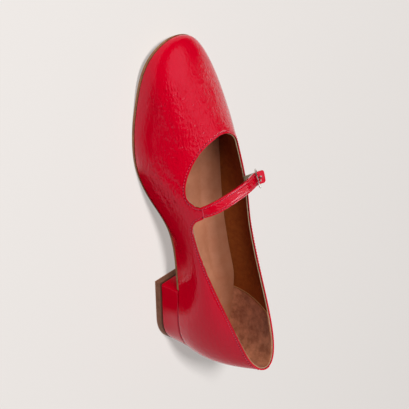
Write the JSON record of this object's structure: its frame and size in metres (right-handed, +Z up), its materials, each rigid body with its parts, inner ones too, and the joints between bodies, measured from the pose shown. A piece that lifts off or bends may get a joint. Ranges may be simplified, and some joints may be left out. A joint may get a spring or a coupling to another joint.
{
  "type": "strap ballet flat, right shoe",
  "caption": "Square-toe ballet flat for the right foot: hollow upper with an open throat, instep strap with a ring buckle, and a low covered block heel.",
  "frame": {"origin": "on the floor, under the middle of the shoe's length and width", "axes": "+Y along the shoe to the toe, +X to the wearer's outer side, where the buckle is, +Z up"},
  "size_m": [0.079, 0.2418, 0.0825],
  "materials": {
    "patent_upper": "crinkled red patent leather, glossy",
    "outsole": "brown leather with a waxed edge",
    "patent_heel": "crinkled red patent leather over a block, glossy",
    "top_piece": "brown top piece, satin",
    "sock": "smooth brown sock leather, satin",
    "patent_strap": "red patent leather, folded and stitched",
    "buckle_ring": "polished",
    "buckle_prong": "polished",
    "elastic": "cream woven elastic"
  },
  "bodies": {
    "root": {"upper": "patent_upper", "outsole": "outsole", "heel_block": "patent_heel", "heel_lift": "top_piece", "insole": "sock", "strap": "patent_strap", "buckle_ring": "buckle_ring", "buckle_prong": "buckle_prong", "buckle_keeper": "elastic"}
  },
  "joints": []
}
